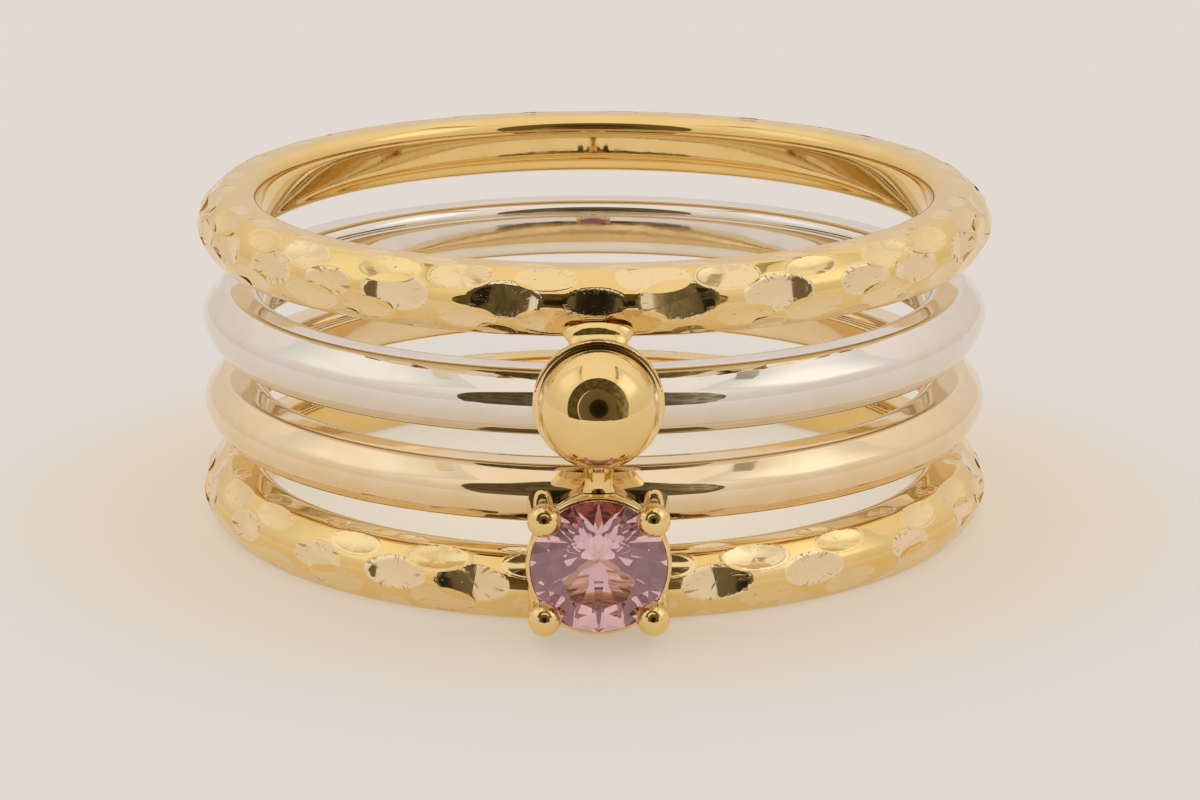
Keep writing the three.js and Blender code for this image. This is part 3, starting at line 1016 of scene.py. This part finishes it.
def make_dark_front(camera_place, aim):
    """The dark round lens and its surroundings, which polished metal and the stone reflect. The
    camera and the plain light don't see it."""
    distance = FRONT_AWAY * MM
    back = (camera_place - aim).normalized()
    centre = aim + back * distance
    radius = distance * math.tan(math.radians(FRONT_REACH))
    bpy.ops.mesh.primitive_circle_add(vertices=96, radius=radius, fill_type="NGON")
    disc = name_new("dark_front")
    settle(disc, Matrix.Translation(centre) @ turn_to(-back))
    material, tree, glow = new_glow("dark_front")
    slope = math_node(tree, "DIVIDE", vector_node(tree, "DISTANCE", own_place(tree), centre), distance)
    degrees = math_node(tree, "MULTIPLY", math_node(tree, "ARCTANGENT", slope), 180 / math.pi)
    stops = [(at, (level, level * 0.76, level * 0.42, 1)) for at, level in FRONT_STOPS]
    rings = colour_ramp(tree, math_node(tree, "DIVIDE", degrees, FRONT_SPAN), stops)
    inside_stone = tree.nodes.new("ShaderNodeLightPath").outputs["Is Transmission Ray"]
    feed(tree, glow.inputs["Color"], mix_colour(tree, inside_stone, rings, FRONT_IN_STONE))
    disc.data.materials.append(material)
    only_reflected(disc)


def make_dark_hood(camera_place, aim):
    """A dark hood close in front of the ball, open in the middle and cut off below: a painted dark
    reflection, seen only in the polished metal, that widens the dark zone where the camera shows in the
    ball.
    """
    back = (camera_place - aim).normalized()
    bpy.ops.mesh.primitive_circle_add(vertices=96, radius=HOOD_RADIUS * MM, fill_type="NGON")
    hood = name_new("dark_hood")
    start_editing(hood, "FACE")
    bpy.ops.mesh.select_all(action="SELECT")
    bpy.ops.mesh.inset(thickness=HOOD_WIDTH * MM)
    bpy.ops.mesh.delete(type="FACE")
    stop_editing()
    settle(hood, Matrix.Translation(aim + back * HOOD_AWAY * MM + HOOD_ASIDE * MM) @ turn_to(-back))
    start_editing(hood, "FACE")
    bpy.ops.mesh.select_all(action="SELECT")
    cut_at = (0, 0, aim.z - HOOD_CUT * MM)
    bpy.ops.mesh.bisect(plane_co=cut_at, plane_no=(0, 0, -1), clear_outer=True, threshold=HAIR)
    stop_editing()
    material, tree, glow = new_glow("dark_hood")
    place = own_place(tree)
    to_right = map_range(tree, split(tree, place)[0], 2.0 * MM, 8.0 * MM, 0.0, 1.0)
    dark = mix_colour(tree, to_right, *HOOD_DARK)
    light = mix_colour(tree, to_right, *HOOD_LIGHT)
    mottle = map_range(tree, noise_node(tree, place, 900.0, 3.0, 0.6), 0.35, 0.65, 0.0, 1.0)
    feed(tree, glow.inputs["Color"], mix_colour(tree, mottle, dark, light))
    hood.data.materials.append(material)
    hood.visible_transmission = False
    only_reflected(hood)


def make_world():
    """The pale tent, a little brighter overhead."""
    world = bpy.data.worlds.new("pale_tent")
    bpy.context.scene.world = world
    world.use_nodes = True
    tree = world.node_tree
    aside, _, up = split(tree, tree.nodes.new("ShaderNodeTexCoord").outputs["Generated"])
    rise = map_range(tree, up, 0.0, 0.9, 0.0, 1.0)
    side = map_range(tree, math_node(tree, "ABSOLUTE", aside), 0.7, 0.97, 0.0, 1.0)
    sky = mix_colour(tree, rise, mix_colour(tree, side, TENT, TENT_SIDE), TENT_TOP)
    feed(tree, tree.nodes["Background"].inputs["Color"], sky)


def place_camera():
    camera = bpy.data.objects.new("camera", bpy.data.cameras.new("camera"))
    bpy.context.collection.objects.link(camera)
    x, y, z = CAMERA_AT
    camera.location = Vector((x, axis_y + y, z)) * MM
    camera.rotation_euler = (math.radians(90 - CAMERA_DOWN), 0, math.radians(CAMERA_ASIDE))
    camera.data.lens = CAMERA_LENS
    camera.data.sensor_width = 36
    camera.data.clip_start = MM
    bpy.context.scene.camera = camera
    return camera


# ---- the whole ring -----------------------------------------------------------------------------


def put_on(piece, node, material=None):
    """Hands a finished piece to the frame. A hammered band has its gold already."""
    if material is not None:
        piece.data.materials.clear()
        piece.data.materials.append(material)
    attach(piece, "root")
    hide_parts(node)


polish = make_polish_group()
burst = make_burst_group()
rich = polished_metal("rich_gold", RICH_GOLD, DEEP_RICH_GOLD, PAINTED_REFLECTED_GOLD, 0.04, polish)
yellow = polished_metal("yellow_gold", GOLD, DEEP_GOLD, PAINTED_REFLECTED_GOLD, 0.04, polish)
pale_yellow = polished_metal("pale_yellow_gold", PALE_GOLD, DEEP_PALE_GOLD, PAINTED_REFLECTED_GOLD, 0.05, polish)
white = polished_metal("white_gold", WHITE_GOLD, DEEP_WHITE_GOLD, PAINTED_REFLECTED_WHITE_GOLD, 0.04, polish)
marks = marked_gold("hammer_mark_gold", FRESH_GOLD, GOLD, PAINTED_REFLECTED_GOLD, CUT_BROWN, polish, burst)
gem = pink_gem("pink_gem")

for name, node, pattern in (
    ("upper_hammered_band", "hammered_band_upper", UPPER_MARKS),
    ("lower_hammered_band", "hammered_band_lower", LOWER_MARKS),
):
    z = middle(node).z / MM
    band = turn_band(name, HAMMERED, z)
    band.data.materials.append(rich)
    hammer(band, z, pattern, marks)
    put_on(band, node)

for name, node, band, slot, metal in (
    ("white_gold_band", "white_band", WHITE, "white_gold", white),
    ("plain_gold_band", "plain_band", PLAIN, "polished_yellow_gold", pale_yellow),
):
    put_on(smooth(turn_band(name, band, middle(node).z / MM), CREASE), node, metal)
put_on(smooth(make_ball("gold_ball", BALL_RADIUS), CREASE), "ball", yellow)
put_on(make_cup(), "ball_cup", yellow)
put_on(make_setting(), "claw_setting", yellow)
put_on(cut_stone("pink_stone"), "stone", gem)

camera = place_camera()
aim = ball_at * MM
make_world()
make_floor()
make_dark_front(camera.location, aim)
make_dark_hood(camera.location, aim)
for name, direction, panel in (
    ("left_softbox", (-0.726, 0.06, 0.682), soft_panel("dim_panel", 0.24)),
    ("right_softbox", (0.74, -0.1, 0.656), soft_panel("bright_panel", 0.44)),
):
    hang(name, aim, direction, PANEL_AWAY, PANEL_WIDTH, PANEL_HEIGHT, panel)
dark_gap = plain_dark("dark_gap", GAP_TONE)
for name, direction, height in (("left_gap", (-0.44, 0.12, 0.89), 7), ("right_gap", (0.45, 0.1, 0.89), 9)):
    hang(name, aim, direction, GAP_AWAY, GAP_WIDTH, height, dark_gap)

scene = bpy.context.scene
scene.view_settings.view_transform = "Standard"
scene.cycles.glossy_bounces = 12
